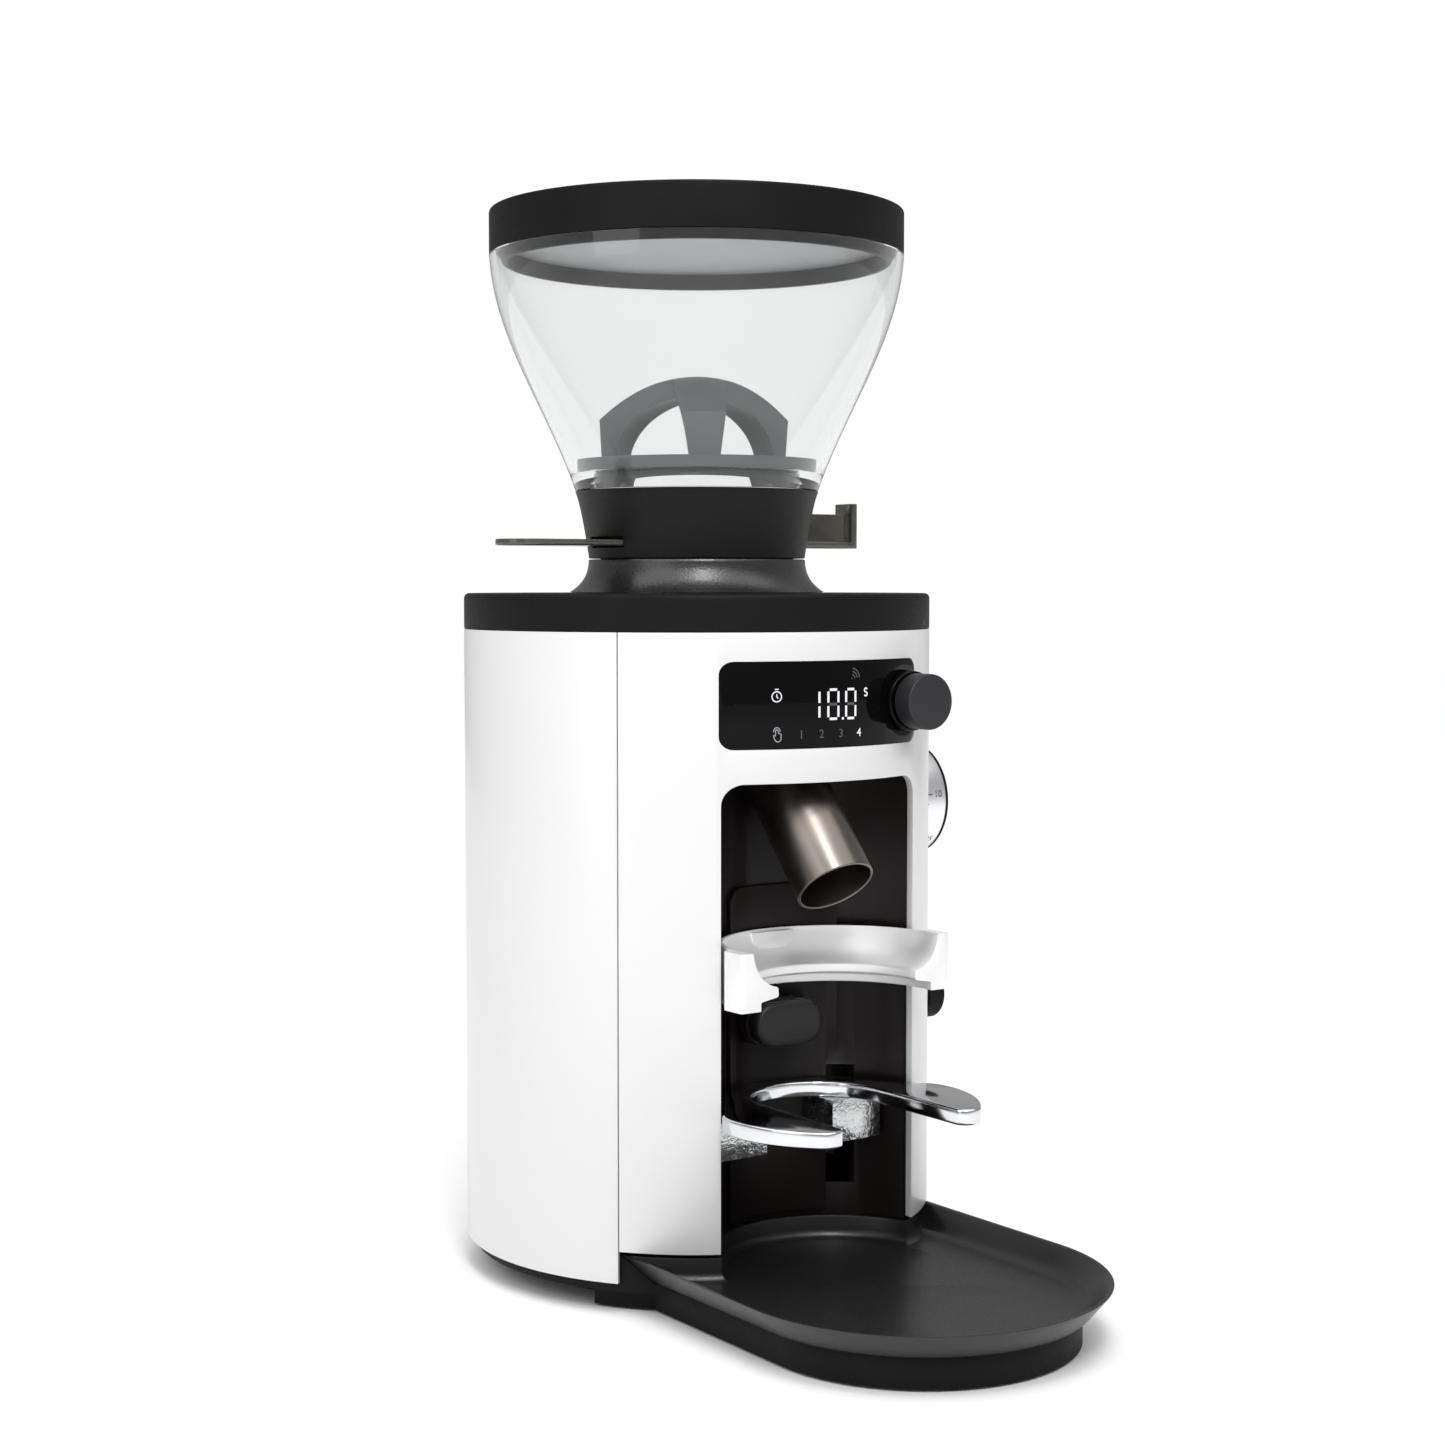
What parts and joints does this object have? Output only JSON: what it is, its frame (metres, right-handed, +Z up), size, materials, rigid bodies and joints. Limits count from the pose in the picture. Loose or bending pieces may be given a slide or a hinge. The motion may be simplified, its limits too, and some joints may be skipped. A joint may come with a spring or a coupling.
{
  "type": "burr coffee grinder",
  "caption": "Upright electric burr coffee grinder with bean hopper, display, portafilter fork, spout and drip tray.",
  "frame": {"origin": "middle of the footprint, on the surface that the feet stand on", "axes": "+Z up, -Y to the front where the tray is, +X to the side with the dial"},
  "size_m": [0.2102, 0.3088, 0.4273],
  "materials": {
    "white_shell": "semi-gloss white moulded shell",
    "black_plastic": "fine-textured matt black moulding",
    "black_gloss": "polished black window and trim",
    "rubber": "matt black rubber",
    "clear": "clear moulded plastic",
    "smoke": "smoky translucent plastic",
    "grey_plastic": "satin grey moulding",
    "polished": "polished cast metal",
    "nickel": "polished dark nickel tube",
    "steel": "machined steel",
    "cast": "die-cast aluminium",
    "copper": "enamelled copper windings",
    "board": "green circuit board"
  },
  "bodies": {
    "housing": {"base_pan": "black_plastic", "recess_liner": "black_plastic", "service_cover": "black_plastic", "top_cap": "black_plastic", "hopper_seat": "black_plastic", "button_housing": "black_plastic", "mains_inlet": "black_plastic", "rocker_frame": "black_plastic", "display_lens": "black_gloss", "knob_bezel": "black_gloss", "rubber_foot_1": "rubber", "rubber_foot_2": "rubber", "rubber_foot_3": "rubber", "rubber_foot_4": "rubber", "rear_shell": "white_shell", "front_panel": "white_shell", "portafilter_bracket": "polished", "spout": "nickel", "frame_post_1": "steel", "frame_post_2": "steel", "frame_post_3": "steel", "clamp_guide": "steel", "motor_housing": "steel", "lower_bearing": "steel", "upper_burr": "steel", "knob_encoder": "steel", "motor_plate": "cast", "chamber_plate": "cast", "grind_chamber": "cast", "upper_burr_carrier": "cast", "stator": "copper", "start_switch": "board", "display_board": "board", "power_board": "board"},
    "hopper": {"hopper_collar": "black_plastic", "bean_hopper": "clear", "finger_guard": "grey_plastic"},
    "gate": {"gate_slide": "smoke"},
    "lid": {"lid": "black_plastic", "lid_liner": "grey_plastic"},
    "dial": {"dial_shaft": "steel", "dial_drum": "polished", "dial_cap": "black_plastic"},
    "ring_nut": {"adjusting_ring": "steel"},
    "bearing_sleeve": {"bearing_carrier": "cast", "upper_bearing": "steel"},
    "rotor_group": {"rotor": "cast", "drive_shaft": "steel", "lower_burr_carrier": "cast", "lower_burr": "steel", "cooling_fan": "grey_plastic"},
    "knob_press": {"knob_shaft": "steel"},
    "knob": {"control_knob": "black_plastic"},
    "button": {"start_button": "black_plastic"},
    "fork": {"portafilter_fork": "polished", "fork_carriage": "steel"},
    "clamp": {"clamp_knob": "black_plastic", "clamp_screw": "steel"},
    "tray": {"drip_tray": "black_plastic"},
    "rocker": {"power_rocker": "black_plastic"}
  },
  "joints": [
    {"name": "hopper_lift", "type": "slide", "parent": "housing", "child": "hopper", "axis": [0, 0, 1], "range_m": [0, 0.12]},
    {"name": "gate_slide", "type": "slide", "parent": "hopper", "child": "gate", "axis": [1, 0, 0], "range_m": [0, 0.025]},
    {"name": "lid_lift", "type": "slide", "parent": "hopper", "child": "lid", "axis": [0, 0, 1], "range_m": [0, 0.12]},
    {"name": "dial_turn", "type": "hinge", "parent": "housing", "child": "dial", "pos_m": [-0.0101, 0.05937, 0.1835], "axis": [1, 0, 0], "range_deg": [-120, 230]},
    {"name": "ring_turn", "type": "hinge", "parent": "housing", "child": "ring_nut", "pos_m": [-0.0101, 0.05937, 0.195], "axis": [0, 0, 1], "range_deg": [-39, 21]},
    {"name": "sleeve_lift", "type": "slide", "parent": "housing", "child": "bearing_sleeve", "axis": [0, 0, 1], "range_m": [-0.00016667, 0.00031944]},
    {"name": "burr_spin", "type": "hinge", "parent": "bearing_sleeve", "child": "rotor_group", "pos_m": [-0.0101, 0.05937, 0.2], "axis": [0, 0, 1], "continuous": true},
    {"name": "knob_push", "type": "slide", "parent": "housing", "child": "knob_press", "axis": [0, 1, 0], "range_m": [0, 0.001], "stiffness_N_per_m": 1500, "springref_m": -0.001},
    {"name": "knob_spin", "type": "hinge", "parent": "knob_press", "child": "knob", "pos_m": [0.0279, -0.03562, 0.2317], "axis": [0, -1, 0], "continuous": true},
    {"name": "button_push", "type": "slide", "parent": "housing", "child": "button", "axis": [0, 1, 0], "range_m": [0, 0.0035], "stiffness_N_per_m": 600, "springref_m": -0.002},
    {"name": "fork_height", "type": "slide", "parent": "housing", "child": "fork", "axis": [0, 0, 1], "range_m": [-0.02, 0.012]},
    {"name": "clamp_turn", "type": "hinge", "parent": "housing", "child": "clamp", "pos_m": [0.0699, 0.03338, 0.1025], "axis": [1, 0, 0], "range_deg": [-180, 180]},
    {"name": "tray_out", "type": "slide", "parent": "housing", "child": "tray", "axis": [0, -1, 0], "range_m": [0, 0.16]},
    {"name": "rocker_tilt", "type": "hinge", "parent": "housing", "child": "rocker", "pos_m": [0.0119, 0.14828, 0.036], "axis": [1, 0, 0], "range_deg": [-14, 0]}
  ],
  "couplings": [
    {"joint": "ring_turn", "follows": "sleeve_lift", "rad_per_m": -2094.4},
    {"joint": "dial_turn", "follows": "sleeve_lift", "rad_per_m": 12566}
  ]
}
